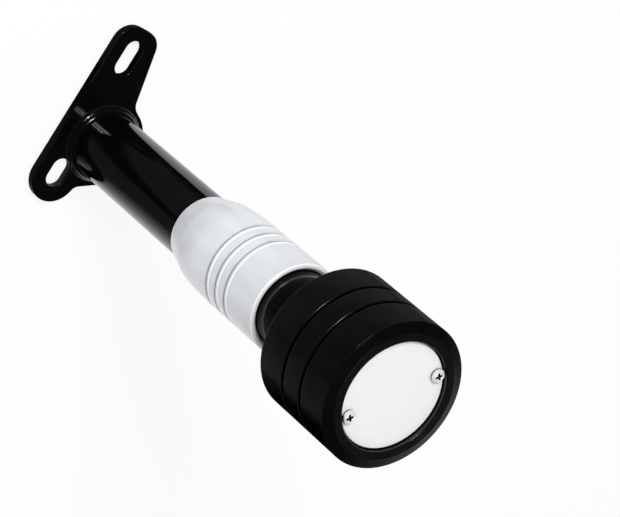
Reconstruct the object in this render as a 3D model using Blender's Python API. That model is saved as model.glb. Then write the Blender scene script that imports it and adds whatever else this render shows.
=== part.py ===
"""Motorcycle frame slider: slotted steel bracket, welded tube, turned aluminium collar and nylon puck.

One long bolt clamps the puck and the collar to a threaded bush in the end of the tube.

Frame: the origin is on the tube's axis, in the bracket's mounting face. +Z runs out along the tube to the
puck's face, +X along the bracket's straight edge to its long ear, and +Y towards that straight edge.
"""

import math

import bmesh
import bpy
from mathutils import Matrix, Vector

MM = 0.001
AXIS = Vector((0, 0, 1))

# Clearances
SEAT_GAP = 0.3 * MM  # between two faces that rest on each other
SLIDE_FIT = 0.35 * MM  # radial play of the puck's neck in the collar
BOLT_PLAY = 0.5 * MM  # radial play of the bolt in the pieces it passes through
WASHER_PLAY = 1.0 * MM  # radial play of the flat washer in its counterbore
BADGE_PLAY = 0.4 * MM  # radial play of the disc in its recess

# Bracket
PLATE_THICKNESS = 3.0 * MM
PLATE_EDGE_ROUND = 0.4 * MM
STRAIGHT_EDGE_Y = 19.15 * MM
SHORT_EAR_RADIUS = 9.2 * MM
SHORT_EAR_X = -18.5 * MM
LONG_EAR_END_X = 42.4 * MM
LONG_EAR_DEPTH = 17.7 * MM  # from the straight edge to the ear's inner edge
LONG_EAR_OUTER_CORNER = 7.3 * MM
LONG_EAR_INNER_CORNER = 6.3 * MM
LOBE_MARGIN = 3.75 * MM  # from the tube's wall to the lobe's edge
ROOT_FILLET = 5.2 * MM
ROOT_FILLET_BEARING = math.radians(-22.6)
NOTCH_FILLET = 3.5 * MM
NOTCH_FLANK = 7.2 * MM  # straight run from the notch to the lobe
SLOT_WIDTH = 6.9 * MM
SLOT_FROM_EDGE = 9.0 * MM
LONG_SLOT_FROM_END = 11.5 * MM
LONG_SLOT_TRAVEL = 6.7 * MM
SHORT_SLOT_X = -16.3 * MM
SHORT_SLOT_TRAVEL = 4.1 * MM

# Tube, its weld and its bush
TUBE_RADIUS = 12.5 * MM
TUBE_WALL = 2.5 * MM
TUBE_LENGTH = 70.4 * MM
WELD_LEG = 2.8 * MM
WELD_CROWN = 0.35 * MM
WELD_RIPPLES = 30
WELD_RIPPLE_DEPTH = 0.25 * MM
BUSH_LENGTH = 25.0 * MM
BUSH_CHAMFER = 1.0 * MM

# Collar, with stations counted from its bracket end
COLLAR_RADIUS = 16.5 * MM
COLLAR_LENGTH = 58.0 * MM
COLLAR_END_STEP = 0.35 * MM  # the collar's end over the tube
TAPER_LENGTH = 9.4 * MM
BARREL_LENGTH = 13.0 * MM
BARREL_RISE = 1.0 * MM
COLLAR_GROOVES = 3
COLLAR_GROOVE_START = 29.2 * MM
COLLAR_GROOVE_PITCH = 5.65 * MM
COLLAR_GROOVE_WIDTH = 1.5 * MM
COLLAR_GROOVE_FLOOR = 0.3 * MM
COLLAR_GROOVE_DEPTH = 0.6 * MM
COLLAR_RIM_CHAMFER = 0.35 * MM
MOUTH_WALL = 2.3 * MM
MOUTH_BORE_DEPTH = 16.5 * MM
MOUTH_COUNTERSINK = 1.0 * MM
SPIGOT_LENGTH = 5.0 * MM
SPIGOT_CHAMFER = 0.6 * MM

# Puck, with stations counted back from its face
PUCK_RADIUS = 25.6 * MM
PUCK_LENGTH = 37.9 * MM
NECK_SHOWING = 20.6 * MM
NECK_CHAMFER = 0.8 * MM
NECK_FILLET = 1.5 * MM
BACK_CHAMFER = 0.5 * MM
NOSE_CHAMFER_WIDTH = 3.5 * MM
NOSE_CHAMFER_LENGTH = 1.5 * MM
FACE_RING_WIDTH = 3.0 * MM
EDGE_BREAK = 0.25 * MM
PUCK_GROOVES = 2
PUCK_GROOVE_START = 14.5 * MM
PUCK_GROOVE_PITCH = 9.9 * MM
PUCK_GROOVE_WIDTH = 1.4 * MM
PUCK_GROOVE_DEPTH = 1.6 * MM

# Bolt stack
BOLT_RADIUS = 5.0 * MM
BOLT_ENGAGEMENT = 22.0 * MM  # length of the bolt in the bush
BOLT_TIP_CHAMFER = 1.0 * MM
BOLT_HEAD_RADIUS = 8.0 * MM
BOLT_HEAD_HEIGHT = 10.0 * MM
BOLT_HEAD_CHAMFER = 0.8 * MM
BOLT_HEAD_ROOM = 0.9 * MM  # from the head to the recess floor
BOLT_HEX_ACROSS_FLATS = 8.0 * MM
BOLT_HEX_DEPTH = 5.0 * MM
SLEEVE_WALL = 2.5 * MM
WASHER_RADIUS = 10.0 * MM
WASHER_THICKNESS = 2.0 * MM
SPRING_WASHER_RADIUS = 9.0 * MM
SPRING_WASHER_THICKNESS = 2.2 * MM
SPRING_WASHER_SPLIT = 0.8 * MM
SPRING_WASHER_SLANT = math.radians(28)

# Badge disc and its screws
BADGE_THICKNESS = 1.3 * MM
BADGE_BELOW_FACE = 1.6 * MM
BADGE_SCREWS = 2
SCREW_BEARING = math.radians(-44.7)
SCREW_RADIUS = 1.2 * MM
SCREW_LENGTH = 9.0 * MM
SCREW_HEAD_RADIUS = 2.35 * MM
SCREW_HEAD_RIM = 0.35 * MM
SCREW_HEAD_HEIGHT = 1.3 * MM
SCREW_CROSS_LENGTH = 2.4 * MM
SCREW_CROSS_WIDTH = 0.55 * MM
SCREW_CROSS_DEPTH = 0.8 * MM

# Places on the bracket that follow from the sizes
LOBE_RADIUS = TUBE_RADIUS + LOBE_MARGIN
SLOT_Y = STRAIGHT_EDGE_Y - SLOT_FROM_EDGE
LONG_SLOT_X = LONG_EAR_END_X - LONG_SLOT_FROM_END

# Stations along the axis
TUBE_FOOT = PLATE_THICKNESS + SEAT_GAP
TUBE_END = TUBE_FOOT + TUBE_LENGTH
COLLAR_START = TUBE_END + SEAT_GAP
COLLAR_MOUTH = COLLAR_START + COLLAR_LENGTH
COLLAR_WEB = COLLAR_MOUTH - MOUTH_BORE_DEPTH
SPIGOT_END = COLLAR_START - SPIGOT_LENGTH
BUSH_TOP = SPIGOT_END - SEAT_GAP
NECK_END = COLLAR_WEB + SEAT_GAP
PUCK_BACK = COLLAR_MOUTH + NECK_SHOWING
PUCK_FACE = PUCK_BACK + PUCK_LENGTH
BADGE_TOP = PUCK_FACE - BADGE_BELOW_FACE
BADGE_FOOT = BADGE_TOP - BADGE_THICKNESS
RECESS_FLOOR = BADGE_FOOT - SEAT_GAP
BOLT_HEAD_TOP = RECESS_FLOOR - BOLT_HEAD_ROOM
BOLT_HEAD_FOOT = BOLT_HEAD_TOP - BOLT_HEAD_HEIGHT
SPRING_WASHER_FOOT = BOLT_HEAD_FOOT - SEAT_GAP - SPRING_WASHER_THICKNESS
WASHER_FOOT = SPRING_WASHER_FOOT - SEAT_GAP - WASHER_THICKNESS
COUNTERBORE_FLOOR = WASHER_FOOT - SEAT_GAP
BOLT_TIP = BUSH_TOP - BOLT_ENGAGEMENT

# Radii that fit each other
TUBE_BORE_RADIUS = TUBE_RADIUS - TUBE_WALL
SPIGOT_RADIUS = TUBE_BORE_RADIUS - SEAT_GAP
BUSH_RADIUS = TUBE_BORE_RADIUS - SEAT_GAP
BUSH_BORE_RADIUS = BOLT_RADIUS + SEAT_GAP
BOLT_HOLE_RADIUS = BOLT_RADIUS + BOLT_PLAY
SLEEVE_RADIUS = BOLT_HOLE_RADIUS + SLEEVE_WALL
PUCK_BORE_RADIUS = SLEEVE_RADIUS + SEAT_GAP
COUNTERBORE_RADIUS = WASHER_RADIUS + WASHER_PLAY
MOUTH_BORE_RADIUS = COLLAR_RADIUS - MOUTH_WALL
NECK_RADIUS = MOUTH_BORE_RADIUS - SLIDE_FIT
COLLAR_END_RADIUS = TUBE_RADIUS + COLLAR_END_STEP
NOSE_FACE_RADIUS = PUCK_RADIUS - NOSE_CHAMFER_WIDTH
RECESS_RADIUS = NOSE_FACE_RADIUS - FACE_RING_WIDTH
BADGE_RADIUS = RECESS_RADIUS - BADGE_PLAY
SCREW_HOLE_RADIUS = SCREW_RADIUS + SEAT_GAP
SCREW_CIRCLE_RADIUS = BADGE_RADIUS - SCREW_HEAD_RADIUS

# Fineness of round forms
LARGE_TURN_SEGMENTS = 64
SMALL_TURN_SEGMENTS = 32
SCREW_TURN_SEGMENTS = 16
ARC_STEP = math.radians(10)
BARREL_STEPS = 5
DOME_STEPS = 4
FILLET_STEPS = 3
BEAD_STEPS = 4
RIPPLE_STEPS = 4
EDGE_ROUND_SEGMENTS = 2
EDGE_ROUND_ANGLE = math.radians(50)
SHARP_ANGLE = math.radians(28)
MERGE_DISTANCE = 0.001 * MM
CUTTER_OVERRUN = 1.0 * MM


def clear_scene():
    for leftover in list(bpy.data.objects):
        bpy.data.objects.remove(leftover, do_unlink=True)


def finish(name, colour, roughness, metallic):
    """A Principled material with one colour, roughness and metallic value."""
    material = bpy.data.materials.new(name)
    material.use_nodes = True
    shader = material.node_tree.nodes["Principled BSDF"]
    shader.inputs["Base Color"].default_value = (*colour, 1.0)
    shader.inputs["Roughness"].default_value = roughness
    shader.inputs["Metallic"].default_value = metallic
    return material


def piece(name, bm, material=None):
    """Turn a bmesh into a named object, with its faces pointing out. Without a material it is a cutter."""
    bmesh.ops.recalc_face_normals(bm, faces=bm.faces)
    mesh = bpy.data.meshes.new(name)
    bm.to_mesh(mesh)
    bm.free()
    mesh.shade_smooth()
    mesh.set_sharp_from_angle(angle=SHARP_ANGLE)
    made = bpy.data.objects.new(name, mesh)
    bpy.context.scene.collection.objects.link(made)
    if material:
        mesh.materials.append(material)
    else:
        made.hide_render = True
        made.display_type = "WIRE"
    return made


def cut(target, cutter):
    """Subtract a cutter from a piece."""
    boolean = target.modifiers.new("cut_" + cutter.name, "BOOLEAN")
    boolean.operation = "DIFFERENCE"
    boolean.solver = "EXACT"
    boolean.object = cutter


def turned(name, profile, material=None, segments=SMALL_TURN_SEGMENTS):
    """Spin a section of (radius, z) points round the axis.

    A section that starts and ends on the axis is solid, and any other closes into a ring.
    """
    bm = bmesh.new()
    points = [bm.verts.new((radius, 0, z)) for radius, z in profile]
    edges = [bm.edges.new(pair) for pair in zip(points, points[1:])]
    if profile[0][0] > 0:
        edges.append(bm.edges.new((points[-1], points[0])))
    bmesh.ops.spin(
        bm,
        geom=points + edges,
        axis=AXIS,
        cent=(0, 0, 0),
        angle=math.tau,
        steps=segments,
        use_merge=True,
    )
    bmesh.ops.remove_doubles(bm, verts=bm.verts, dist=MERGE_DISTANCE)
    return piece(name, bm, material)


def arc(centre_radius, centre_z, radius, start, end, steps):
    """Points (radius, z) along an arc in a turned section, both ends included."""
    return [
        (
            centre_radius + radius * math.cos(start + (end - start) * step / steps),
            centre_z + radius * math.sin(start + (end - start) * step / steps),
        )
        for step in range(steps + 1)
    ]


def belt(circles):
    """Outline that wraps (x, y, radius) circles anticlockwise, like a belt round pulleys.

    A negative radius is a concave fillet: the belt passes on the circle's inner side.
    """
    bearings = []
    for here, ahead in zip(circles, circles[1:] + circles[:1]):
        step = Vector(ahead[:2]) - Vector(here[:2])
        lean = max(-1.0, min(1.0, (here[2] - ahead[2]) / step.length))
        bearings.append(math.atan2(step.y, step.x) - math.acos(lean))
    outline = []
    for index, (x, y, radius) in enumerate(circles):
        start = bearings[index - 1]
        sweep = bearings[index] - start
        sweep = sweep % math.tau if radius > 0 else -(-sweep % math.tau)
        steps = max(2, math.ceil(abs(sweep) / ARC_STEP))
        for step in range(steps + 1):
            bearing = start + sweep * step / steps
            outline.append((x + radius * math.cos(bearing), y + radius * math.sin(bearing)))
    return outline


def on_bearing(distance, bearing):
    """Point at a distance and bearing from the axis."""
    return distance * math.cos(bearing), distance * math.sin(bearing)


def triangle_point(start, start_side, end, end_side):
    """Third corner of a triangle on two points, with its sides' lengths, to the right of start to end."""
    base = Vector(end) - Vector(start)
    along = (start_side**2 - end_side**2 + base.length_squared) / (2 * base.length)
    across = math.sqrt(start_side**2 - along**2)
    ahead = base.normalized()
    corner = Vector(start) + along * ahead + across * Vector((ahead.y, -ahead.x))
    return corner.x, corner.y


def slab(name, outline, bottom, top, material=None):
    """Extrude a flat outline from one height to another."""
    bm = bmesh.new()
    face = bm.faces.new([bm.verts.new((x, y, bottom)) for x, y in outline])
    grown = bmesh.ops.extrude_face_region(bm, geom=[face])["geom"]
    lifted = [item for item in grown if isinstance(item, bmesh.types.BMVert)]
    bmesh.ops.translate(bm, verts=lifted, vec=(0, 0, top - bottom))
    bmesh.ops.remove_doubles(bm, verts=bm.verts, dist=MERGE_DISTANCE)
    return piece(name, bm, material)


def block(name, size, centre, turn):
    """A box-shaped cutter, turned before it is moved to its centre."""
    bm = bmesh.new()
    place = Matrix.Translation(centre) @ turn @ Matrix.Diagonal((*size, 1))
    bmesh.ops.create_cube(bm, size=1, matrix=place)
    return piece(name, bm)


def slot_outline(x, travel, margin=0.0):
    """Round-ended slot along X for a bolt that can travel in it, grown all round by the margin."""
    radius = SLOT_WIDTH / 2 + margin
    return belt([(x - travel / 2, SLOT_Y, radius), (x + travel / 2, SLOT_Y, radius)])


def plate_outline():
    """Two ears along the straight edge and a lobe round the tube, with every corner rounded."""
    short_ear = (SHORT_EAR_X, STRAIGHT_EDGE_Y - SHORT_EAR_RADIUS)
    notch_from_axis = math.hypot(LOBE_RADIUS + NOTCH_FILLET, NOTCH_FLANK)
    notch = triangle_point(short_ear, SHORT_EAR_RADIUS + NOTCH_FILLET, (0, 0), notch_from_axis)
    root = on_bearing(LOBE_RADIUS + ROOT_FILLET, ROOT_FILLET_BEARING)
    outer_corner = (LONG_EAR_END_X - LONG_EAR_OUTER_CORNER, STRAIGHT_EDGE_Y - LONG_EAR_OUTER_CORNER)
    inner_corner = (
        LONG_EAR_END_X - LONG_EAR_INNER_CORNER,
        STRAIGHT_EDGE_Y - LONG_EAR_DEPTH + LONG_EAR_INNER_CORNER,
    )
    return belt(
        [
            (*inner_corner, LONG_EAR_INNER_CORNER),
            (*outer_corner, LONG_EAR_OUTER_CORNER),
            (*short_ear, SHORT_EAR_RADIUS),
            (*notch, -NOTCH_FILLET),
            (0, 0, LOBE_RADIUS),
            (*root, -ROOT_FILLET),
        ]
    )


def mounting_plate(material):
    plate = slab("mounting_plate", plate_outline(), 0, PLATE_THICKNESS, material)
    for name, x, travel in (
        ("long_slot", LONG_SLOT_X, LONG_SLOT_TRAVEL),
        ("short_slot", SHORT_SLOT_X, SHORT_SLOT_TRAVEL),
    ):
        cutter = slab(name, slot_outline(x, travel), -CUTTER_OVERRUN, PLATE_THICKNESS + CUTTER_OVERRUN)
        cut(plate, cutter)
    rounding = plate.modifiers.new("edge_round", "BEVEL")
    rounding.width = PLATE_EDGE_ROUND
    rounding.segments = EDGE_ROUND_SEGMENTS
    rounding.limit_method = "ANGLE"
    rounding.angle_limit = EDGE_ROUND_ANGLE
    rounding.use_clamp_overlap = False


def standoff_tube(material):
    profile = [
        (TUBE_RADIUS, TUBE_END),
        (TUBE_RADIUS, TUBE_FOOT),
        (TUBE_BORE_RADIUS, TUBE_FOOT),
        (TUBE_BORE_RADIUS, TUBE_END),
    ]
    turned("standoff_tube", profile, material, LARGE_TURN_SEGMENTS)


def foot_weld(material):
    """Rippled fillet bead round the tube's foot, cut back where it would reach into the short slot."""
    inner = TUBE_RADIUS + SEAT_GAP
    floor = PLATE_THICKNESS + SEAT_GAP
    around = WELD_RIPPLES * RIPPLE_STEPS
    bm = bmesh.new()
    rings = []
    for index in range(around):
        phase = index % RIPPLE_STEPS / RIPPLE_STEPS
        leg = WELD_LEG - SEAT_GAP - WELD_RIPPLE_DEPTH * phase
        section = [(inner, floor)]
        for step in range(BEAD_STEPS + 1):
            share = step / BEAD_STEPS
            crown = WELD_CROWN * math.sin(math.pi * share)
            section.append((inner + leg * (1 - share) + crown, floor + leg * share + crown))
        angle = math.tau * index / around
        rings.append([bm.verts.new((*on_bearing(radius, angle), z)) for radius, z in section])
    for ring, following in zip(rings, rings[1:] + rings[:1]):
        for low, high in zip(range(len(ring)), [*range(1, len(ring)), 0]):
            bm.faces.new((ring[low], ring[high], following[high], following[low]))
    bead = piece("foot_weld", bm, material)
    clearing = slot_outline(SHORT_SLOT_X, SHORT_SLOT_TRAVEL, SEAT_GAP)
    top = PLATE_THICKNESS + WELD_LEG + CUTTER_OVERRUN
    cut(bead, slab("weld_clearing", clearing, PLATE_THICKNESS, top))


def threaded_bush(material):
    foot = BUSH_TOP - BUSH_LENGTH
    profile = [
        (BUSH_RADIUS - BUSH_CHAMFER, BUSH_TOP),
        (BUSH_RADIUS, BUSH_TOP - BUSH_CHAMFER),
        (BUSH_RADIUS, foot + BUSH_CHAMFER),
        (BUSH_RADIUS - BUSH_CHAMFER, foot),
        (BUSH_BORE_RADIUS + BUSH_CHAMFER, foot),
        (BUSH_BORE_RADIUS, foot + BUSH_CHAMFER),
        (BUSH_BORE_RADIUS, BUSH_TOP - BUSH_CHAMFER),
        (BUSH_BORE_RADIUS + BUSH_CHAMFER, BUSH_TOP),
    ]
    turned("threaded_bush", profile, material)


def collar(material):
    """Aluminium sleeve: countersunk mouth, three V grooves, barrelled flank and a long taper to the tube."""
    barrel_end = COLLAR_START + TAPER_LENGTH + BARREL_LENGTH
    barrel_radius = (BARREL_LENGTH**2 + BARREL_RISE**2) / (2 * BARREL_RISE)
    barrel_lean = math.asin(BARREL_LENGTH / barrel_radius)
    floor_radius = COLLAR_RADIUS - COLLAR_GROOVE_DEPTH
    profile = [
        (COLLAR_RADIUS - COLLAR_RIM_CHAMFER, COLLAR_MOUTH),
        (COLLAR_RADIUS, COLLAR_MOUTH - COLLAR_RIM_CHAMFER),
    ]
    for index in reversed(range(COLLAR_GROOVES)):
        middle = COLLAR_START + COLLAR_GROOVE_START + COLLAR_GROOVE_PITCH * index
        profile += [
            (COLLAR_RADIUS, middle + COLLAR_GROOVE_WIDTH / 2),
            (floor_radius, middle + COLLAR_GROOVE_FLOOR / 2),
            (floor_radius, middle - COLLAR_GROOVE_FLOOR / 2),
            (COLLAR_RADIUS, middle - COLLAR_GROOVE_WIDTH / 2),
        ]
    profile += arc(
        COLLAR_RADIUS - barrel_radius, barrel_end, barrel_radius, 0, -barrel_lean, BARREL_STEPS
    )
    profile += [
        (COLLAR_END_RADIUS, COLLAR_START),
        (SPIGOT_RADIUS, COLLAR_START),
        (SPIGOT_RADIUS, SPIGOT_END + SPIGOT_CHAMFER),
        (SPIGOT_RADIUS - SPIGOT_CHAMFER, SPIGOT_END),
        (BOLT_HOLE_RADIUS, SPIGOT_END),
        (BOLT_HOLE_RADIUS, COLLAR_WEB),
        (MOUTH_BORE_RADIUS, COLLAR_WEB),
        (MOUTH_BORE_RADIUS, COLLAR_MOUTH - MOUTH_COUNTERSINK),
        (MOUTH_BORE_RADIUS + MOUTH_COUNTERSINK, COLLAR_MOUTH),
    ]
    turned("collar", profile, material, LARGE_TURN_SEGMENTS)


def puck(material):
    """Nylon slider: bored through for the crush sleeve, with a neck that plugs into the collar."""
    groove_radius = PUCK_RADIUS - PUCK_GROOVE_DEPTH
    fillet_radius = NECK_RADIUS + NECK_FILLET
    profile = [
        (RECESS_RADIUS + EDGE_BREAK, PUCK_FACE),
        (NOSE_FACE_RADIUS, PUCK_FACE),
        (PUCK_RADIUS, PUCK_FACE - NOSE_CHAMFER_LENGTH),
    ]
    for index in range(PUCK_GROOVES):
        middle = PUCK_FACE - PUCK_GROOVE_START - PUCK_GROOVE_PITCH * index
        top = middle + PUCK_GROOVE_WIDTH / 2
        bottom = middle - PUCK_GROOVE_WIDTH / 2
        profile += [
            (PUCK_RADIUS, top + EDGE_BREAK),
            (PUCK_RADIUS - EDGE_BREAK, top),
            (groove_radius, top),
            (groove_radius, bottom),
            (PUCK_RADIUS - EDGE_BREAK, bottom),
            (PUCK_RADIUS, bottom - EDGE_BREAK),
        ]
    profile += [
        (PUCK_RADIUS, PUCK_BACK + BACK_CHAMFER),
        (PUCK_RADIUS - BACK_CHAMFER, PUCK_BACK),
    ]
    profile += arc(
        fillet_radius, PUCK_BACK - NECK_FILLET, NECK_FILLET, math.pi / 2, math.pi, FILLET_STEPS
    )
    profile += [
        (NECK_RADIUS, NECK_END + NECK_CHAMFER),
        (NECK_RADIUS - NECK_CHAMFER, NECK_END),
        (PUCK_BORE_RADIUS, NECK_END),
        (PUCK_BORE_RADIUS, COUNTERBORE_FLOOR),
        (COUNTERBORE_RADIUS, COUNTERBORE_FLOOR),
        (COUNTERBORE_RADIUS, RECESS_FLOOR),
        (RECESS_RADIUS, RECESS_FLOOR),
        (RECESS_RADIUS, PUCK_FACE - EDGE_BREAK),
    ]
    return turned("puck", profile, material, LARGE_TURN_SEGMENTS)


def crush_sleeve(material):
    profile = [
        (SLEEVE_RADIUS, COUNTERBORE_FLOOR),
        (SLEEVE_RADIUS, NECK_END),
        (BOLT_HOLE_RADIUS, NECK_END),
        (BOLT_HOLE_RADIUS, COUNTERBORE_FLOOR),
    ]
    turned("crush_sleeve", profile, material)


def washer(name, radius, foot, thickness, material):
    """Flat ring round the bolt."""
    profile = [
        (radius, foot + thickness),
        (radius, foot),
        (BOLT_HOLE_RADIUS, foot),
        (BOLT_HOLE_RADIUS, foot + thickness),
    ]
    return turned(name, profile, material)


def spring_washer(material):
    """Split lock washer, drawn as clamped flat, with its slanting split."""
    coil = washer(
        "spring_washer", SPRING_WASHER_RADIUS, SPRING_WASHER_FOOT, SPRING_WASHER_THICKNESS, material
    )
    middle = (BOLT_HOLE_RADIUS + SPRING_WASHER_RADIUS) / 2
    size = (2 * (SPRING_WASHER_RADIUS - BOLT_HOLE_RADIUS), SPRING_WASHER_SPLIT, 2 * SPRING_WASHER_THICKNESS)
    centre = (middle, 0, SPRING_WASHER_FOOT + SPRING_WASHER_THICKNESS / 2)
    cut(coil, block("washer_split", size, centre, Matrix.Rotation(SPRING_WASHER_SLANT, 4, "X")))


def main_bolt(material):
    """Socket head cap screw that reaches into the threaded bush."""
    profile = [
        (0, BOLT_HEAD_TOP),
        (BOLT_HEAD_RADIUS - BOLT_HEAD_CHAMFER, BOLT_HEAD_TOP),
        (BOLT_HEAD_RADIUS, BOLT_HEAD_TOP - BOLT_HEAD_CHAMFER),
        (BOLT_HEAD_RADIUS, BOLT_HEAD_FOOT),
        (BOLT_RADIUS, BOLT_HEAD_FOOT),
        (BOLT_RADIUS, BOLT_TIP + BOLT_TIP_CHAMFER),
        (BOLT_RADIUS - BOLT_TIP_CHAMFER, BOLT_TIP),
        (0, BOLT_TIP),
    ]
    bolt = turned("main_bolt", profile, material)
    corner = BOLT_HEX_ACROSS_FLATS / 2 / math.cos(math.pi / 6)
    hexagon = [on_bearing(corner, math.tau * side / 6) for side in range(6)]
    cut(bolt, slab("bolt_hex", hexagon, BOLT_HEAD_TOP - BOLT_HEX_DEPTH, BOLT_HEAD_TOP + CUTTER_OVERRUN))


def screw_hole(name, place, bottom, top):
    """Round cutter for a badge screw's hole."""
    profile = [(0, top), (SCREW_HOLE_RADIUS, top), (SCREW_HOLE_RADIUS, bottom), (0, bottom)]
    hole = turned(name, profile, segments=SCREW_TURN_SEGMENTS)
    hole.location = (*place, 0)
    return hole


def badge_screw(name, place, bearing, material):
    """Dome head screw with a cross recess, through the disc into the puck."""
    foot = BADGE_TOP + SEAT_GAP
    tip = foot - SCREW_LENGTH
    dome_height = SCREW_HEAD_HEIGHT - SCREW_HEAD_RIM
    dome_radius = (SCREW_HEAD_RADIUS**2 + dome_height**2) / (2 * dome_height)
    dome_lean = math.asin(SCREW_HEAD_RADIUS / dome_radius)
    centre_z = foot + SCREW_HEAD_HEIGHT - dome_radius
    dome = arc(0, centre_z, dome_radius, math.pi / 2, math.pi / 2 - dome_lean, DOME_STEPS)
    profile = [
        (0, foot + SCREW_HEAD_HEIGHT),
        *dome[1:],
        (SCREW_HEAD_RADIUS, foot),
        (SCREW_RADIUS, foot),
        (SCREW_RADIUS, tip + SCREW_RADIUS),
        (0, tip),
    ]
    screw = turned(name, profile, material, SCREW_TURN_SEGMENTS)
    screw.location = (*place, 0)
    size = (SCREW_CROSS_LENGTH, SCREW_CROSS_WIDTH, 2 * SCREW_CROSS_DEPTH)
    centre = (*place, foot + SCREW_HEAD_HEIGHT)
    for arm, turn in (("along", bearing), ("across", bearing + math.pi / 2)):
        cut(screw, block(f"{name}_cross_{arm}", size, centre, Matrix.Rotation(turn, 4, "Z")))


def badge(disc_material, screw_material, puck_body):
    """Aluminium disc in the puck's recess, held by screws at its edge."""
    profile = [
        (0, BADGE_TOP),
        (BADGE_RADIUS - EDGE_BREAK, BADGE_TOP),
        (BADGE_RADIUS, BADGE_TOP - EDGE_BREAK),
        (BADGE_RADIUS, BADGE_FOOT),
        (0, BADGE_FOOT),
    ]
    disc = turned("badge_disc", profile, disc_material, LARGE_TURN_SEGMENTS)
    for index in range(BADGE_SCREWS):
        name = f"badge_screw_{index + 1}"
        bearing = SCREW_BEARING + math.tau * index / BADGE_SCREWS
        place = on_bearing(SCREW_CIRCLE_RADIUS, bearing)
        cut(disc, screw_hole(f"{name}_hole", place, BADGE_FOOT - CUTTER_OVERRUN, PUCK_FACE))
        cut(puck_body, screw_hole(f"{name}_pilot", place, BADGE_TOP - SCREW_LENGTH, PUCK_FACE))
        badge_screw(name, place, bearing, screw_material)


def main():
    clear_scene()
    black_coat = finish("black_powder_coat", (0.012, 0.012, 0.013), 0.25, 0.0)
    aluminium = finish("turned_aluminium", (0.75, 0.76, 0.78), 0.3, 1.0)
    nylon = finish("black_nylon", (0.015, 0.015, 0.016), 0.45, 0.0)
    zinc = finish("zinc_plated_steel", (0.55, 0.56, 0.58), 0.35, 1.0)
    disc_finish = finish("satin_disc", (0.82, 0.83, 0.85), 0.35, 1.0)
    chrome = finish("bright_chrome", (0.8, 0.81, 0.83), 0.1, 1.0)

    mounting_plate(black_coat)
    standoff_tube(black_coat)
    foot_weld(black_coat)
    threaded_bush(zinc)
    collar(aluminium)
    puck_body = puck(nylon)
    crush_sleeve(zinc)
    washer("flat_washer", WASHER_RADIUS, WASHER_FOOT, WASHER_THICKNESS, zinc)
    spring_washer(zinc)
    main_bolt(zinc)
    badge(disc_finish, chrome, puck_body)


main()
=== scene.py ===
"""Looks of a motorcycle frame slider: finishes, fine edges, weld bead, screws, studio and camera.

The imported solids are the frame. Turned pieces are spun again from the solids' own sections, finer
and with broken edges, and the bracket is cut again from its solid's outline.
"""

import math

import bmesh
import bpy
from mathutils import Matrix, Quaternion, Vector


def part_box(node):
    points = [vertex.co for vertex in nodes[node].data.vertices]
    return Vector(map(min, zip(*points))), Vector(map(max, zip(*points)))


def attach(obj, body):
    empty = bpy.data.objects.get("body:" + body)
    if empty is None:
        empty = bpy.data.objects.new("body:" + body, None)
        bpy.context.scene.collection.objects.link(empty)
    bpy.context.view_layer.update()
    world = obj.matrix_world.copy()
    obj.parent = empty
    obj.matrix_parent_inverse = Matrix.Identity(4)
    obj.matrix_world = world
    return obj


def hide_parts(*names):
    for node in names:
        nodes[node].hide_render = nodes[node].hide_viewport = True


MM = 0.001
MATCH = 0.001 * MM  # two points closer than this are one

# Camera, at the photograph's viewing angle
IMAGE_WIDTH = 620
FOCAL_LENGTH_PIXELS = 2932.5
SENSOR_WIDTH = 36.0
CAMERA_PLACE = Vector((131.8, 637.3, 808.2)) * MM
CAMERA_AIM = Vector((15.6, -2.8, 121.8)) * MM
CAMERA_ROLL = math.radians(130.0)
CAMERA_BEARING = math.atan2(CAMERA_PLACE.y, CAMERA_PLACE.x)

# Fineness of what is made again here
TURN_STEPS = 192
EDGE_BREAK = 0.12 * MM
EDGE_BREAK_SEGMENTS = 3
EDGE_BREAK_ANGLE = math.radians(5)
SMOOTH_ANGLE = math.radians(40)

# Scales of the finishes. What is finer than a pixel, 0.35 mm, is drawn as coarse as it needs to
# show.
PEEL_WAVE = 2.2 * MM
PEEL_HEIGHT = 0.05 * MM
COAT_PATCH = 14 * MM
COLLAR_TOOL_FEED = 0.45 * MM  # really about 0.1 mm
COLLAR_RING_HEIGHT = 0.004 * MM
SHEEN_PATCH = 5 * MM  # width of the streaks of uneven shine, also painted into the colour as pale sheen
SHEEN_STRETCH = (1, 1, 0.2)  # they are five times as long as wide
PUCK_TOOL_FEED = 0.5 * MM  # really about 0.15 mm
PUCK_RING_HEIGHT = 0.006 * MM
NYLON_GRAIN = 0.6 * MM
NYLON_PATCH = 7 * MM
SHEET_GRAIN = 0.35 * MM  # really about 0.05 mm
SHEET_GRAIN_HEIGHT = 0.01 * MM
SHEET_CLOUD = 8 * MM
CHROME_CLOUD = 1.2 * MM
ZINC_CLOUD = 4 * MM
# Painted shade in corners: how far a surface looks for cover, and with how many samples.
PAINTED_SHADE_REACH = 1.0 * MM
PAINTED_SHADE_SAMPLES = 8

# Heights of the painted highlight lines along the collar's edges: at its end over the tube, above
# each groove and at its mouth. The real bright edges are about 0.2 mm wide.
PAINTED_HIGHLIGHT_EDGES = (74.1 * MM, 105.0 * MM, 110.65 * MM, 116.3 * MM, 131.75 * MM)
PAINTED_HIGHLIGHT_WIDTH = {"From Min": 0.4 * MM, "From Max": 0.25 * MM}
MOUTH_UNSHADED = {"From Min": 124 * MM, "From Max": 128 * MM}  # above this no painted shade is added
# The lower part of the puck's neck is polished by the collar's mouth.
NECK_RUBBED = {"From Min": 139 * MM, "From Max": 152 * MM, "To Min": 0.3}

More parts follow.
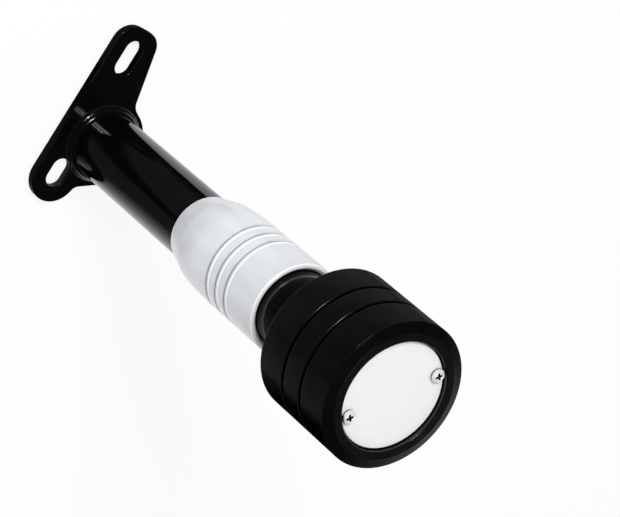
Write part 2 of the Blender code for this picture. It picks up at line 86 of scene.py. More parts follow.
# Nearly all of a noise pattern lies in this range. It becomes each finish's range of roughness.
NOISE_RANGE = {"From Min": 0.3, "From Max": 0.7}
STREAK_RANGE = {"From Min": 0.35, "From Max": 0.65}
COAT_ROUGHNESS = {"To Min": 0.07, "To Max": 0.12}
ALUMINIUM_ROUGHNESS = {"To Min": 0.2, "To Max": 0.27}
NYLON_ROUGHNESS = {"To Min": 0.19, "To Max": 0.23}
SHEET_ROUGHNESS = {"To Min": 0.42, "To Max": 0.5}
CHROME_ROUGHNESS = {"To Min": 0.1, "To Max": 0.2}
ZINC_ROUGHNESS = {"To Min": 0.28, "To Max": 0.42}

# Floor
STAGE_SIZE = 12
FLOOR_HEIGHT = -0.5 * MM
FLOOR_GLOW = 0.85

# Painted reflection cards on the floor, seen only in gloss: dark, with glowing white and grey
# parts. Distances are from the tube's axis, and bearings from the camera's.
FLAG_LIFT = 0.3 * MM
FLAG_LEVEL = 0.075  # brightness of their grey shades
GAP_START = {"From Min": 0.081, "From Max": 0.085, "To Max": 0.9}
GAP_END = {"From Min": 0.1385, "From Max": 0.1355}
SOFT_SIDE = {"From Min": math.radians(62), "From Max": math.radians(112)}
HARD_SIDE = {"From Min": math.radians(-89), "From Max": math.radians(-91), "To Max": 0.8}
FAR_FLOOR = {"From Min": 0.38, "From Max": 0.58, "To Max": 0.3}
STRIP_PLACE = 0.035
STRIP_EDGE = {"From Min": 0.009, "From Max": 0.018}
NEAR_SHADE = {"From Min": math.radians(-80), "From Max": math.radians(-57)}
FAR_SHADE = {"From Min": math.radians(108), "From Max": math.radians(93)}
FAR_SHADE_SWELL = {
    "From Min": math.radians(30),
    "From Max": math.radians(90),
    "To Min": 0.5,
    "To Max": 1.3,
}
FAR_SHADE_START = {"From Min": 0.135, "From Max": 0.14}

# Room: levels near the horizon and above it, and the light that dull surfaces get from all round
ROOM_LEVELS = {"From Min": 0.2, "From Max": 0.45, "To Min": 0.1, "To Max": 0.02}
ROOM_FILL = 0.7
# Two white cards overhead, each with the angle from the camera's side of the horizon and its reach
SKY_CARDS = ((math.radians(111), math.radians(11)), (math.radians(160), math.radians(18)))
SKY_CARD_CORE = 0.8  # share of the reach that is fully white

# Lamps
LAMP_AIM = Vector((0, 0, 0.1))
LAMP_DISTANCE = 1.1
KEY_BEARINGS = {"key_left": math.radians(53.2), "key_right": math.radians(44.7)}
KEY_ELEVATION = math.radians(45)
KEY_SIZE = (0.05, 0.14)
KEY_POWER = 1.6
SOFT_KEY_BEARING = math.radians(50)
SOFT_KEY_ELEVATION = math.radians(50)
SOFT_KEY_SIZE = (0.5, 0.5)
SOFT_KEY_POWER = 5.0

# Bracket and its weld
PLATE_THICKNESS = 3.0 * MM
PLATE_EDGE_ROUND = 0.4 * MM
PLATE_EDGE_SEGMENTS = 5
PLATE_EDGE_ANGLE = math.radians(60)
TUBE_RADIUS = 12.5 * MM
WELD_LEG = 2.5 * MM
WELD_CROWN = 0.08 * MM
WELD_RIDGE_HEIGHT = 0.1 * MM
WELD_RIPPLES = 34
WELD_RIPPLE_HEIGHT = 0.02 * MM
WELD_RIPPLE_BOW = 0.45  # how far each lap lags in the middle of the bead, in laps
WELD_LAP_SHARE = 0.8  # share of a lap that rises, the rest is the dip before the next
WELD_SLANT = 0.7  # the bead's face leans 45 degrees, so its crown goes out and up alike
WELD_STEPS_ROUND = 600
WELD_STEPS_ACROSS = 12
SHORT_SLOT_PLACE = Vector((-16.3, 10.15, 0)) * MM
SHORT_SLOT_WIDTH = 6.9 * MM
SHORT_SLOT_TRAVEL = 4.1 * MM
SEAT_GAP = 0.3 * MM

# Badge screws
SCREW_RADIUS = 1.2 * MM
SCREW_HEAD_RADIUS = 2.35 * MM
SCREW_HEAD_RIM = 0.85 * MM
SCREW_HEAD_HEIGHT = 1.3 * MM
SCREW_RIM_LAND = 0.06 * MM
SCREW_CROSS_LENGTH = 2.6 * MM
SCREW_CROSS_WIDTH = 0.5 * MM
SCREW_CROSS_DEPTH = 0.8 * MM
SCREW_CROSS_SIDE_SLOPE = 0.12 * MM
SCREW_CROSS_END_SLOPE = 0.45 * MM
SCREW_DOME_STEPS = 40
SCREW_DOME_POWER = 3.5  # flatter in the middle than a ball, and rounder at the rim
SCREW_DOME_MARGIN = 0.01 * MM
SCREW_STEPS = 128

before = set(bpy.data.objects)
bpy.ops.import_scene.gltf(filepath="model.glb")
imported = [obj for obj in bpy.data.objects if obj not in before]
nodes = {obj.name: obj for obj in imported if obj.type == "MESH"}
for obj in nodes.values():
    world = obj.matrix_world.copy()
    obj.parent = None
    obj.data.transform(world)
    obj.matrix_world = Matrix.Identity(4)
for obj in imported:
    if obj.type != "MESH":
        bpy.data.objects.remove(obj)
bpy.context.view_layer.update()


def srgb(code):
    """Linear colour of an sRGB hex value."""
    channels = [int(code[place : place + 2], 16) / 255 for place in (1, 3, 5)]
    linear = [c / 12.92 if c <= 0.04045 else ((c + 0.055) / 1.055) ** 2.4 for c in channels]
    return (*linear, 1.0)


def add_node(tree, kind, inputs=None, **settings):
    """Add a node with its settings. An input is a value, or another node's output to link."""
    made = tree.nodes.new(kind)
    for name, value in settings.items():
        setattr(made, name, value)
    for socket, value in (inputs or {}).items():
        if isinstance(value, bpy.types.NodeSocket):
            tree.links.new(value, made.inputs[socket])
        else:
            made.inputs[socket].default_value = value
    return made


def new_material(name):
    """An empty material, its node tree and its output node."""
    material = bpy.data.materials.new(name)
    material.use_nodes = True
    tree = material.node_tree
    tree.nodes.clear()
    return material, tree, tree.nodes.new("ShaderNodeOutputMaterial")


def painted_corner_shade(tree, colour, shade_colour, tucked_in, no_painted_shade=0.0):
    """Painted shade: darken a colour where the surface is tucked in and shade falls, except where a
    mask keeps it clear.
    """
    corner = add_node(
        tree, "ShaderNodeAmbientOcclusion", {"Distance": PAINTED_SHADE_REACH}, samples=PAINTED_SHADE_SAMPLES
    )
    unshaded_share = add_node(tree, "ShaderNodeMapRange", {"Value": corner.outputs["AO"], **tucked_in})
    unshaded_share = add_node(tree, "ShaderNodeMath", {0: unshaded_share.outputs[0], 1: no_painted_shade}, operation="MAXIMUM")
    with_painted_shade = add_node(
        tree,
        "ShaderNodeMix",
        {"Factor": unshaded_share.outputs[0], "A": srgb(shade_colour), "B": colour},
        data_type="RGBA",
    )
    return with_painted_shade.outputs["Result"]


def gloss_black_powder_coat():
    """Thick baked coat: near black, mirror-like but with the slow waves of orange peel."""
    material, tree, output = new_material("gloss_black_powder_coat")
    place = add_node(tree, "ShaderNodeTexCoord").outputs["Object"]
    peel = add_node(
        tree, "ShaderNodeTexNoise", {"Vector": place, "Scale": 1 / PEEL_WAVE, "Detail": 2.0}
    )
    bump = add_node(
        tree,
        "ShaderNodeBump",
        {"Height": peel.outputs["Fac"], "Strength": 0.12, "Distance": PEEL_HEIGHT},
    )
    flow = add_node(
        tree, "ShaderNodeTexNoise", {"Vector": place, "Scale": 1 / COAT_PATCH, "Detail": 3.0}
    )
    haze = add_node(
        tree,
        "ShaderNodeMapRange",
        {"Value": flow.outputs["Fac"], **NOISE_RANGE, **COAT_ROUGHNESS},
    )
    depth = add_node(
        tree,
        "ShaderNodeMix",
        {"Factor": flow.outputs["Fac"], "A": srgb("#040405"), "B": srgb("#09090A")},
        data_type="RGBA",
    )
    coat = add_node(
        tree,
        "ShaderNodeBsdfPrincipled",
        {
            "Base Color": depth.outputs["Result"],
            "Roughness": haze.outputs[0],
            "IOR": 1.5,
            "Normal": bump.outputs["Normal"],
        },
    )
    tree.links.new(coat.outputs["BSDF"], output.inputs["Surface"])
    return material


def turned_aluminium():
    """Bright turned metal: pale, with fine rings left by the tool and long streaks of uneven shine,
    also painted into its colour as sheen.

    Painted highlights make its edges near white, and painted shade darkens the bottoms of its
    grooves.
    """
    material, tree, output = new_material("turned_aluminium")
    place = add_node(tree, "ShaderNodeTexCoord").outputs["Object"]
    height = add_node(tree, "ShaderNodeSeparateXYZ", {0: place}).outputs["Z"]
    rings = add_node(
        tree,
        "ShaderNodeTexNoise",
        {"W": height, "Scale": 1 / COLLAR_TOOL_FEED, "Detail": 2.0, "Roughness": 0.6},
        noise_dimensions="1D",
    )
    bump = add_node(
        tree,
        "ShaderNodeBump",
        {"Height": rings.outputs["Fac"], "Strength": 0.15, "Distance": COLLAR_RING_HEIGHT},
    )
    drawn_out = add_node(
        tree, "ShaderNodeVectorMath", {0: place, 1: SHEEN_STRETCH}, operation="MULTIPLY"
    )
    sheen = add_node(
        tree,
        "ShaderNodeTexNoise",
        {"Vector": drawn_out.outputs[0], "Scale": 1 / SHEEN_PATCH, "Detail": 3.0},
    )
    shine = add_node(
        tree,
        "ShaderNodeMapRange",
        {"Value": sheen.outputs["Fac"], **NOISE_RANGE, **ALUMINIUM_ROUGHNESS},
    )
    # Painted sheen: the shine's streaks also lighten and darken the colour, as smeared reflections
    # would.
    painted_sheen = add_node(
        tree, "ShaderNodeMapRange", {"Value": sheen.outputs["Fac"], **STREAK_RANGE}
    )
    rings_and_painted_sheen = add_node(
        tree,
        "ShaderNodeMath",
        {0: painted_sheen.outputs[0], 1: rings.outputs["Fac"]},
        operation="ADD",
    )
    rings_and_painted_sheen = add_node(
        tree, "ShaderNodeMath", {0: rings_and_painted_sheen.outputs[0], 1: 0.5}, operation="MULTIPLY"
    )
    tint = add_node(
        tree,
        "ShaderNodeMix",
        {"Factor": rings_and_painted_sheen.outputs[0], "A": srgb("#CACDD2"), "B": srgb("#DDDFE3")},
        data_type="RGBA",
    )
    # Painted highlights: a near white line along each of these edges.
    for edge in PAINTED_HIGHLIGHT_EDGES:
        off = add_node(tree, "ShaderNodeMath", {0: height, 1: edge}, operation="SUBTRACT")
        off = add_node(tree, "ShaderNodeMath", {0: off.outputs[0]}, operation="ABSOLUTE")
        line = add_node(
            tree, "ShaderNodeMapRange", {"Value": off.outputs[0], **PAINTED_HIGHLIGHT_WIDTH}
        )
        tint = add_node(
            tree,
            "ShaderNodeMix",
            {"Factor": line.outputs[0], "A": tint.outputs["Result"], "B": srgb("#FAFAFB")},
            data_type="RGBA",
        )
    # Painted shade, dark grey, in the grooves and wherever the collar is tucked in, below the
    # mouth.
    no_painted_shade = add_node(tree, "ShaderNodeMapRange", {"Value": height, **MOUTH_UNSHADED})
    with_painted_shade = painted_corner_shade(
        tree,
        tint.outputs["Result"],
        "#3C3D40",
        {"From Min": 0.7, "From Max": 0.88},
        no_painted_shade.outputs[0],
    )
    metal = add_node(
        tree,
        "ShaderNodeBsdfPrincipled",
        {
            "Base Color": with_painted_shade,
            "Metallic": 0.16,
            "Roughness": shine.outputs[0],
            "Normal": bump.outputs["Normal"],
        },
    )
    tree.links.new(metal.outputs["BSDF"], output.inputs["Surface"])
    return material


def turned_black_nylon():
    """Nylon bar turned on a lathe: black, satin, with close tool rings and a waxy unevenness."""
    material, tree, output = new_material("turned_black_nylon")
    place = add_node(tree, "ShaderNodeTexCoord").outputs["Object"]
    height = add_node(tree, "ShaderNodeSeparateXYZ", {0: place}).outputs["Z"]
    rings = add_node(
        tree,
        "ShaderNodeTexNoise",
        {"W": height, "Scale": 1 / PUCK_TOOL_FEED, "Detail": 2.0, "Roughness": 0.6},
        noise_dimensions="1D",
    )
    grain = add_node(
        tree, "ShaderNodeTexNoise", {"Vector": place, "Scale": 1 / NYLON_GRAIN, "Detail": 3.0}
    )
    relief = add_node(
        tree,
        "ShaderNodeMath",
        {0: rings.outputs["Fac"], 1: grain.outputs["Fac"]},
        operation="ADD",
    )
    bump = add_node(
        tree,
        "ShaderNodeBump",
        {"Height": relief.outputs[0], "Strength": 0.2, "Distance": PUCK_RING_HEIGHT},
    )
    waxy = add_node(
        tree, "ShaderNodeTexNoise", {"Vector": place, "Scale": 1 / NYLON_PATCH, "Detail": 3.0}
    )
    satin = add_node(
        tree,
        "ShaderNodeMapRange",
        {"Value": waxy.outputs["Fac"], **NOISE_RANGE, **NYLON_ROUGHNESS},
    )
    rubbed = add_node(tree, "ShaderNodeMapRange", {"Value": height, **NECK_RUBBED})
    satin = add_node(
        tree, "ShaderNodeMath", {0: satin.outputs[0], 1: rubbed.outputs[0]}, operation="MULTIPLY"
    )
    tint = add_node(
        tree,
        "ShaderNodeMix",
        {"Factor": waxy.outputs["Fac"], "A": srgb("#040404"), "B": srgb("#080809")},
        data_type="RGBA",
    )
    plastic = add_node(
        tree,
        "ShaderNodeBsdfPrincipled",
        {
            "Base Color": tint.outputs["Result"],
            "Roughness": satin.outputs[0],
            "IOR": 1.5,
            "Normal": bump.outputs["Normal"],
        },
    )
    tree.links.new(plastic.outputs["BSDF"], output.inputs["Surface"])
    return material


def satin_anodised_sheet():
    """Etched and clear anodised aluminium sheet: milky pale grey, with a very fine matt grain."""
    material, tree, output = new_material("satin_anodised_sheet")
    place = add_node(tree, "ShaderNodeTexCoord").outputs["Object"]
    grain = add_node(
        tree, "ShaderNodeTexNoise", {"Vector": place, "Scale": 1 / SHEET_GRAIN, "Detail": 2.0}
    )
    bump = add_node(
        tree,
        "ShaderNodeBump",
        {"Height": grain.outputs["Fac"], "Strength": 0.25, "Distance": SHEET_GRAIN_HEIGHT},
    )
    cloud = add_node(
        tree, "ShaderNodeTexNoise", {"Vector": place, "Scale": 1 / SHEET_CLOUD, "Detail": 3.0}
    )
    tint = add_node(
        tree,
        "ShaderNodeMix",
        {"Factor": cloud.outputs["Fac"], "A": srgb("#E6E7E9"), "B": srgb("#EEEFF1")},
        data_type="RGBA",
    )
    matt = add_node(
        tree,
        "ShaderNodeMapRange",
        {"Value": grain.outputs["Fac"], **NOISE_RANGE, **SHEET_ROUGHNESS},
    )
    metal = add_node(
        tree,
        "ShaderNodeBsdfPrincipled",
        {
            "Base Color": tint.outputs["Result"],
            "Metallic": 0.12,
            "Roughness": matt.outputs[0],
            "Normal": bump.outputs["Normal"],
        },
    )
    tree.links.new(metal.outputs["BSDF"], output.inputs["Surface"])
    return material


def polished_chrome():
    """Bright plated screw: pale and glossy, a little clouded where the blank wasn't quite smooth.

    Painted shade darkens its cross and the underside of its rim.
    """
    material, tree, output = new_material("polished_chrome")
    place = add_node(tree, "ShaderNodeTexCoord").outputs["Object"]
    cloud = add_node(
        tree, "ShaderNodeTexNoise", {"Vector": place, "Scale": 1 / CHROME_CLOUD, "Detail": 3.0}
    )
    haze = add_node(
        tree,
        "ShaderNodeMapRange",
        {"Value": cloud.outputs["Fac"], **NOISE_RANGE, **CHROME_ROUGHNESS},
    )
    tint = add_node(
        tree,
        "ShaderNodeMix",
        {"Factor": cloud.outputs["Fac"], "A": srgb("#EDEEF0"), "B": srgb("#F8F8F9")},
        data_type="RGBA",
    )
    # Painted shade: near black in the cross and under the rim, where the head is tucked in.
    with_painted_shade = painted_corner_shade(
        tree, tint.outputs["Result"], "#0C0C0D", {"From Min": 0.85, "From Max": 0.98}
    )
    metal = add_node(
        tree,
        "ShaderNodeBsdfPrincipled",
        {"Base Color": with_painted_shade, "Metallic": 0.35, "Roughness": haze.outputs[0]},
    )
    tree.links.new(metal.outputs["BSDF"], output.inputs["Surface"])
    return material


def zinc_plate():
    """Bright zinc on steel: silver grey with faint warm and blue clouds of its passivation."""
    material, tree, output = new_material("zinc_plate")
    place = add_node(tree, "ShaderNodeTexCoord").outputs["Object"]
    cloud = add_node(
        tree, "ShaderNodeTexNoise", {"Vector": place, "Scale": 1 / ZINC_CLOUD, "Detail": 4.0}
    )
    tint = add_node(
        tree,
        "ShaderNodeMix",
        {"Factor": cloud.outputs["Fac"], "A": srgb("#B9C0CA"), "B": srgb("#CDCABD")},
        data_type="RGBA",
    )
    haze = add_node(
        tree,
        "ShaderNodeMapRange",
        {"Value": cloud.outputs["Fac"], **NOISE_RANGE, **ZINC_ROUGHNESS},
    )
    metal = add_node(
        tree,
        "ShaderNodeBsdfPrincipled",
        {"Base Color": tint.outputs["Result"], "Metallic": 1.0, "Roughness": haze.outputs[0]},
    )
    tree.links.new(metal.outputs["BSDF"], output.inputs["Surface"])
    return material


def section_loops(node_name, plane_point, plane_normal, keep=None):
    """Closed or open runs of points where a plane cuts a solid of the frame."""
    bm = bmesh.new()
    bm.from_mesh(nodes[node_name].data)
    bmesh.ops.remove_doubles(bm, verts=bm.verts, dist=MATCH)
    bmesh.ops.bisect_plane(
        bm,
        geom=bm.verts[:] + bm.edges[:] + bm.faces[:],
        dist=MATCH,
        plane_co=plane_point,
        plane_no=plane_normal,
        clear_inner=True,
        clear_outer=True,
    )
    if keep:
        stray = [v for v in bm.verts if not keep(v.co)]
        bmesh.ops.delete(bm, geom=stray, context="VERTS")
    left = set(bm.edges)
    loops = []
    while left:
        ends = [v for e in left for v in e.verts if sum(x in left for x in v.link_edges) == 1]
        here = ends[0] if ends else next(iter(left)).verts[0]
        run = [here.co.copy()]
        while True:
            step = next((e for e in here.link_edges if e in left), None)
            if step is None:
                break
            left.remove(step)
            here = step.other_vert(here)
            run.append(here.co.copy())
        loops.append(run)
    bm.free()
    return loops


def spun(section, steps):
    """A closed skin, spun round the axis from a section's points, each a radius and a height."""
    bm = bmesh.new()
    points = [bm.verts.new((radius, 0, z)) for radius, z in section]
    edges = [bm.edges.new(pair) for pair in zip(points, points[1:])]
    bmesh.ops.spin(
        bm,
        geom=points + edges,
        axis=(0, 0, 1),
        cent=(0, 0, 0),
        angle=math.tau,
        steps=steps,
        use_merge=True,
    )
    bmesh.ops.remove_doubles(bm, verts=bm.verts, dist=MATCH)
    bmesh.ops.recalc_face_normals(bm, faces=bm.faces)
    return bm


def shown_piece(name, bm, material, replaced):
    """Put a finished skin in the scene in place of the solids it replaces."""
    mesh = bpy.data.meshes.new(name)
    bm.to_mesh(mesh)
    bm.free()
    mesh.materials.append(material)
    mesh.shade_smooth()
    mesh.set_sharp_from_angle(angle=SMOOTH_ANGLE)
    made = bpy.data.objects.new(name, mesh)
    bpy.context.scene.collection.objects.link(made)
    flat = made.modifiers.new("true_faces", "WEIGHTED_NORMAL")
    flat.keep_sharp = True
    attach(made, "root")
    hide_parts(*replaced)


def spun_again(node_name, material):
    """Spin a turned solid's own section again, finer, with its sharp edges broken."""
    loops = section_loops(node_name, (0, 0, 0), (0, 1, 0), keep=lambda co: co.x > -MATCH)
    bm = spun([(co.x, co.z) for co in max(loops, key=len)], TURN_STEPS)
    sharp = [e for e in bm.edges if e.is_manifold and e.calc_face_angle() > EDGE_BREAK_ANGLE]
    bmesh.ops.bevel(
        bm,
        geom=sharp,
        offset=EDGE_BREAK,
        segments=EDGE_BREAK_SEGMENTS,
        profile=0.5,
        affect="EDGES",
    )
    shown_piece(node_name + "_fine", bm, material, [node_name])


def fine_plate(material):
    """Cut the bracket again from its solid's outline, with the round edges of thick powder coat."""
    bm = bmesh.new()
    for loop in section_loops("mounting_plate", (0, 0, PLATE_THICKNESS / 2), (0, 0, 1)):
        points = [bm.verts.new((co.x, co.y, 0)) for co in loop[:-1]]
        for pair in zip(points, points[1:] + points[:1]):
            bm.edges.new(pair)
    bmesh.ops.triangle_fill(bm, use_beauty=True, edges=bm.edges)
    bmesh.ops.recalc_face_normals(bm, faces=bm.faces)
    grown = bmesh.ops.extrude_face_region(bm, geom=bm.faces[:], use_keep_orig=True)["geom"]
    lifted = [item for item in grown if isinstance(item, bmesh.types.BMVert)]
    bmesh.ops.translate(bm, verts=lifted, vec=(0, 0, PLATE_THICKNESS))
    bmesh.ops.recalc_face_normals(bm, faces=bm.faces)
    sharp = [e for e in bm.edges if e.is_manifold and e.calc_face_angle() > PLATE_EDGE_ANGLE]
    bmesh.ops.bevel(
        bm,
        geom=sharp,
        offset=PLATE_EDGE_ROUND,
        segments=PLATE_EDGE_SEGMENTS,
        profile=0.5,
        affect="EDGES",
    )
    shown_piece("mounting_plate_fine", bm, material, ["mounting_plate"])


def clear_of_slot(x, y):
    """Move a point of the weld bead out of the short slot, to the slot's nearest edge."""
    half = SHORT_SLOT_TRAVEL / 2
    along = max(-half, min(half, x - SHORT_SLOT_PLACE.x))
    off = Vector((x - SHORT_SLOT_PLACE.x - along, y - SHORT_SLOT_PLACE.y))
    reach = SHORT_SLOT_WIDTH / 2 + SEAT_GAP
    if off.length >= reach:
        return x, y
    off = off.normalized() * reach
    return SHORT_SLOT_PLACE.x + along + off.x, SHORT_SLOT_PLACE.y + off.y


def fine_weld(material):
    """Sweep the fillet bead round the tube's foot: two low ridges along it, faint laps across."""
    bm = bmesh.new()
    rings = []
    for step in range(WELD_STEPS_ROUND):
        angle = math.tau * step / WELD_STEPS_ROUND
        ring = []
        for place in range(WELD_STEPS_ACROSS + 1):
            share = place / WELD_STEPS_ACROSS
            bow = 4 * share * (1 - share)
            ridges = WELD_RIDGE_HEIGHT * abs(math.sin(2 * math.pi * share))
            lap = (WELD_RIPPLES * angle / math.tau + WELD_RIPPLE_BOW * bow) % 1
            swell = math.sin(math.pi * min(1, lap / WELD_LAP_SHARE)) - 0.5
            crown = WELD_CROWN * bow + ridges + WELD_RIPPLE_HEIGHT * bow * swell
            radius = TUBE_RADIUS + WELD_LEG * (1 - share) + crown * WELD_SLANT
            z = PLATE_THICKNESS + WELD_LEG * share + crown * WELD_SLANT
            x, y = clear_of_slot(radius * math.cos(angle), radius * math.sin(angle))
            ring.append(bm.verts.new((x, y, z)))
        rings.append(ring)
    for ring, following in zip(rings, rings[1:] + rings[:1]):
        for place in range(WELD_STEPS_ACROSS):
            bm.faces.new((ring[place], following[place], following[place + 1], ring[place + 1]))
    bmesh.ops.recalc_face_normals(bm, faces=bm.faces)
    shown_piece("foot_weld_fine", bm, material, ["foot_weld"])


def fine_screw(number, material):
    """Turn a badge screw again, with a cross recess pressed in by moving its dome's points."""
    low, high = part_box(f"badge_screw_{number}")
    centre = (Vector(low) + Vector(high)) / 2
    top = high[2]
    bearing = math.atan2(centre.y, centre.x)
    rim_z = top - SCREW_HEAD_HEIGHT + SCREW_HEAD_RIM
    rise = SCREW_HEAD_HEIGHT - SCREW_HEAD_RIM
    section = []
    for step in range(SCREW_DOME_STEPS + 1):
        share = step / SCREW_DOME_STEPS
        section.append((SCREW_HEAD_RADIUS * share, top - rise * share**SCREW_DOME_POWER))
    section += [
        (SCREW_HEAD_RADIUS, rim_z - SCREW_RIM_LAND),
        (SCREW_HEAD_RADIUS, top - SCREW_HEAD_HEIGHT),
        (SCREW_RADIUS, top - SCREW_HEAD_HEIGHT),
        (SCREW_RADIUS, low[2] + SCREW_RADIUS),
        (0, low[2]),
    ]
    bm = spun(section, SCREW_STEPS)
    wide = SCREW_CROSS_WIDTH / 2 + SCREW_CROSS_SIDE_SLOPE
    for vert in bm.verts:
        if vert.co.z > rim_z - SCREW_DOME_MARGIN:
            across, along = sorted((abs(vert.co.x), abs(vert.co.y)))
            side = max(0, min(1, (wide - across) / SCREW_CROSS_SIDE_SLOPE))
            end = max(0, min(1, (SCREW_CROSS_LENGTH / 2 - along) / SCREW_CROSS_END_SLOPE))
            vert.co.z -= SCREW_CROSS_DEPTH * side * end
    turn = Matrix.Rotation(bearing, 3, "Z")
    bmesh.ops.rotate(bm, verts=bm.verts, cent=(0, 0, 0), matrix=turn)
    bmesh.ops.translate(bm, verts=bm.verts, vec=(centre.x, centre.y, 0))
    name = f"badge_screw_{number}"
    shown_piece(name + "_fine", bm, material, [name])


def stage_plane(name, height, material):
    """A level square of the stage, which is no part of the object."""
    bpy.ops.mesh.primitive_plane_add(size=STAGE_SIZE, location=(0, 0, height))
    made = bpy.context.object
    made.name = name
    made.data.materials.append(material)
    return made


def stage_floor():
    """A plain white floor. Eyes and mirrors see it white, and a small share keeps the shadows."""
    material, tree, output = new_material("white_paper")
    paths = add_node(tree, "ShaderNodeLightPath")
    seen = add_node(
        tree,
        "ShaderNodeMath",
        {0: paths.outputs["Is Camera Ray"], 1: paths.outputs["Is Glossy Ray"]},
        operation="MAXIMUM",
    )
    seen = add_node(
        tree,
        "ShaderNodeMath",
        {0: seen.outputs[0], 1: paths.outputs["Is Transmission Ray"]},
        operation="MAXIMUM",
    )
    share = add_node(
        tree, "ShaderNodeMath", {0: seen.outputs[0], 1: FLOOR_GLOW}, operation="MULTIPLY"
    )
    paper = add_node(tree, "ShaderNodeBsdfDiffuse", {"Color": srgb("#F0F0F0")})
    glow = add_node(tree, "ShaderNodeEmission", {"Color": (1, 1, 1, 1), "Strength": 1.0})
    mix = add_node(
        tree,
        "ShaderNodeMixShader",
        {0: share.outputs[0], 1: paper.outputs[0], 2: glow.outputs[0]},
    )
    tree.links.new(mix.outputs[0], output.inputs["Surface"])
    stage_plane("floor", FLOOR_HEIGHT, material)


def painted_reflection_floor():
    """Painted reflections: cards on the floor, seen only in gloss, which keep the mirror-like black
    parts black.

    The collar mirrors the white ring that glows between them. A glowing grey shade on each side,
    cut by a dark strip, gives the tube and the puck their soft painted bands. Far off the floor is
    a dim grey.
    """
    material, tree, output = new_material("painted_reflection_cards")
    place = add_node(tree, "ShaderNodeTexCoord").outputs["Object"]
    turned = add_node(
        tree,
        "ShaderNodeVectorRotate",
        {"Vector": place, "Axis": (0, 0, 1), "Angle": -CAMERA_BEARING},
    )
    axes = add_node(tree, "ShaderNodeSeparateXYZ", {0: turned.outputs[0]})
    toward, sideways = axes.outputs["X"], axes.outputs["Y"]
    out = add_node(
        tree, "ShaderNodeVectorMath", {0: place}, operation="LENGTH"
    ).outputs["Value"]
    bearing = add_node(
        tree, "ShaderNodeMath", {0: sideways, 1: toward}, operation="ARCTAN2"
    ).outputs[0]

    soft_side = add_node(tree, "ShaderNodeMapRange", {"Value": bearing, **SOFT_SIDE})
    hard_side = add_node(tree, "ShaderNodeMapRange", {"Value": bearing, **HARD_SIDE})
    gap_start = add_node(tree, "ShaderNodeMapRange", {"Value": out, **GAP_START})
    gap_end = add_node(tree, "ShaderNodeMapRange", {"Value": out, **GAP_END})
    far_floor = add_node(tree, "ShaderNodeMapRange", {"Value": out, **FAR_FLOOR})
    white = soft_side
    for part, operation in (
        (hard_side, "MAXIMUM"),
        (gap_start, "MAXIMUM"),
        (gap_end, "MULTIPLY"),
        (far_floor, "MAXIMUM"),
    ):
        white = add_node(
            tree, "ShaderNodeMath", {0: white.outputs[0], 1: part.outputs[0]}, operation=operation
        )

    slant = add_node(tree, "ShaderNodeMath", {0: toward, 1: sideways}, operation="SUBTRACT")
    off_strip = add_node(
        tree, "ShaderNodeMath", {0: slant.outputs[0], 1: STRIP_PLACE}, operation="SUBTRACT"
    )
    off_strip = add_node(
        tree, "ShaderNodeMath", {0: off_strip.outputs[0]}, operation="ABSOLUTE"
    )
    strip = add_node(
        tree, "ShaderNodeMapRange", {"Value": off_strip.outputs[0], **STRIP_EDGE}
    )
    near_shade = add_node(tree, "ShaderNodeMapRange", {"Value": bearing, **NEAR_SHADE})
    far_shade = add_node(tree, "ShaderNodeMapRange", {"Value": bearing, **FAR_SHADE})
    turn = add_node(tree, "ShaderNodeMath", {0: bearing}, operation="ABSOLUTE")
    swell = add_node(
        tree, "ShaderNodeMapRange", {"Value": turn.outputs[0], **FAR_SHADE_SWELL}
    )
    far_shade = add_node(
        tree,
        "ShaderNodeMath",
        {0: far_shade.outputs[0], 1: swell.outputs[0]},
        operation="MULTIPLY",
    )
    far = add_node(tree, "ShaderNodeMapRange", {"Value": out, **FAR_SHADE_START})
    shade = add_node(
        tree,
        "ShaderNodeMix",
        {"Factor": far.outputs[0], "A": near_shade.outputs[0], "B": far_shade.outputs[0]},
    )
    grey = add_node(
        tree, "ShaderNodeMath", {0: strip.outputs[0], 1: shade.outputs[0]}, operation="MULTIPLY"
    )
    grey = add_node(
        tree, "ShaderNodeMath", {0: grey.outputs[0], 1: FLAG_LEVEL}, operation="MULTIPLY"
    )
    level = add_node(
        tree, "ShaderNodeMath", {0: grey.outputs[0], 1: white.outputs[0]}, operation="MAXIMUM"
    ).outputs[0]
    # The cards glow: a painted reflection, seen only in gloss.
    card = add_node(tree, "ShaderNodeEmission", {"Color": (1, 1, 1, 1), "Strength": level})
    tree.links.new(card.outputs[0], output.inputs["Surface"])
    flags = stage_plane("flags", FLOOR_HEIGHT + FLAG_LIFT, material)
    for sight in ("camera", "diffuse", "transmission", "volume_scatter", "shadow"):
        setattr(flags, "visible_" + sight, False)


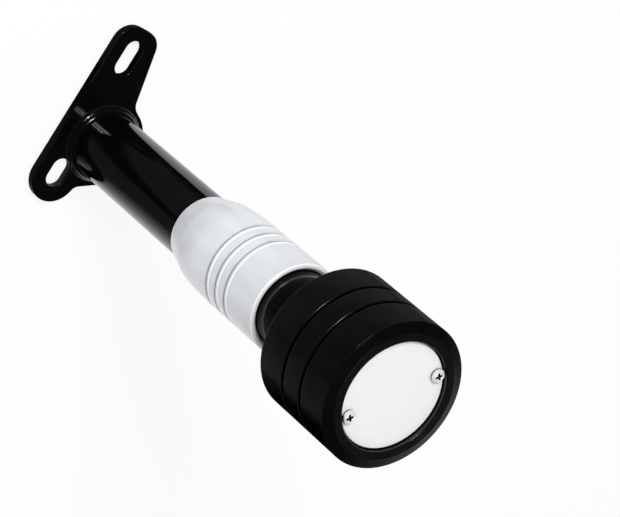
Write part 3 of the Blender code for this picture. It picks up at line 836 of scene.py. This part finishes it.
def studio_world():
    """White to the eye and an even fill for dull surfaces. Gloss sees a dim room and two cards."""
    world = bpy.data.worlds.new("studio")
    bpy.context.scene.world = world
    world.use_nodes = True
    tree = world.node_tree
    tree.nodes.clear()
    output = tree.nodes.new("ShaderNodeOutputWorld")
    paths = add_node(tree, "ShaderNodeLightPath")
    direction = add_node(tree, "ShaderNodeTexCoord").outputs["Generated"]
    height = add_node(tree, "ShaderNodeSeparateXYZ", {0: direction}).outputs["Z"]
    level = add_node(
        tree,
        "ShaderNodeMapRange",
        {"Value": height, **ROOM_LEVELS},
        interpolation_type="SMOOTHSTEP",
    )
    for lean, reach in SKY_CARDS:
        centre = (
            math.cos(lean) * math.cos(CAMERA_BEARING),
            math.cos(lean) * math.sin(CAMERA_BEARING),
            math.sin(lean),
        )
        near = add_node(
            tree, "ShaderNodeVectorMath", {0: direction, 1: centre}, operation="DOT_PRODUCT"
        )
        card = add_node(
            tree,
            "ShaderNodeMapRange",
            {
                "Value": near.outputs["Value"],
                "From Min": math.cos(reach),
                "From Max": math.cos(SKY_CARD_CORE * reach),
            },
        )
        level = add_node(
            tree, "ShaderNodeMath", {0: level.outputs[0], 1: card.outputs[0]}, operation="MAXIMUM"
        )
    for ray, shown in (("Is Camera Ray", 1.0), ("Is Diffuse Ray", ROOM_FILL)):
        level = add_node(
            tree, "ShaderNodeMix", {"Factor": paths.outputs[ray], "A": level.outputs[0], "B": shown}
        )
    light = add_node(
        tree, "ShaderNodeBackground", {"Color": (1, 1, 1, 1), "Strength": level.outputs[0]}
    )
    tree.links.new(light.outputs[0], output.inputs["Surface"])


def lamp(name, bearing, elevation, size, power, glossy=True):
    """A soft rectangular lamp that faces the middle of the object."""
    data = bpy.data.lights.new(name, "AREA")
    data.shape = "RECTANGLE"
    data.size, data.size_y = size
    data.energy = power
    made = bpy.data.objects.new(name, data)
    bpy.context.scene.collection.objects.link(made)
    out = Vector(
        (
            math.cos(elevation) * math.cos(bearing),
            math.cos(elevation) * math.sin(bearing),
            math.sin(elevation),
        )
    )
    made.location = LAMP_AIM + out * LAMP_DISTANCE
    made.rotation_mode = "QUATERNION"
    made.rotation_quaternion = out.to_track_quat("Z", "Y")
    made.visible_glossy = glossy


def camera():
    """The camera at the photograph's place, rolled as the photograph is."""
    data = bpy.data.cameras.new("camera")
    data.sensor_width = SENSOR_WIDTH
    data.lens = SENSOR_WIDTH * FOCAL_LENGTH_PIXELS / IMAGE_WIDTH
    made = bpy.data.objects.new("camera", data)
    bpy.context.scene.collection.objects.link(made)
    made.location = CAMERA_PLACE
    made.rotation_mode = "QUATERNION"
    level = (CAMERA_AIM - CAMERA_PLACE).to_track_quat("-Z", "Y")
    made.rotation_quaternion = level @ Quaternion((0, 0, 1), CAMERA_ROLL)
    bpy.context.scene.camera = made


coat = gloss_black_powder_coat()
aluminium = turned_aluminium()
nylon = turned_black_nylon()
anodised = satin_anodised_sheet()
chrome = polished_chrome()
zinc = zinc_plate()

for node_name in ("threaded_bush", "crush_sleeve", "flat_washer", "spring_washer", "main_bolt"):
    nodes[node_name].material_slots[0].material = zinc
nodes["badge_disc"].material_slots[0].material = anodised

fine_plate(coat)
fine_weld(coat)
spun_again("standoff_tube", coat)
spun_again("collar", aluminium)
spun_again("puck", nylon)
fine_screw(1, chrome)
fine_screw(2, chrome)

stage_floor()
painted_reflection_floor()
studio_world()
for name, bearing in KEY_BEARINGS.items():
    lamp(name, bearing, KEY_ELEVATION, KEY_SIZE, KEY_POWER)
lamp(
    "soft_key", SOFT_KEY_BEARING, SOFT_KEY_ELEVATION, SOFT_KEY_SIZE, SOFT_KEY_POWER, glossy=False
)
camera()

bpy.context.scene.view_settings.view_transform = "Standard"
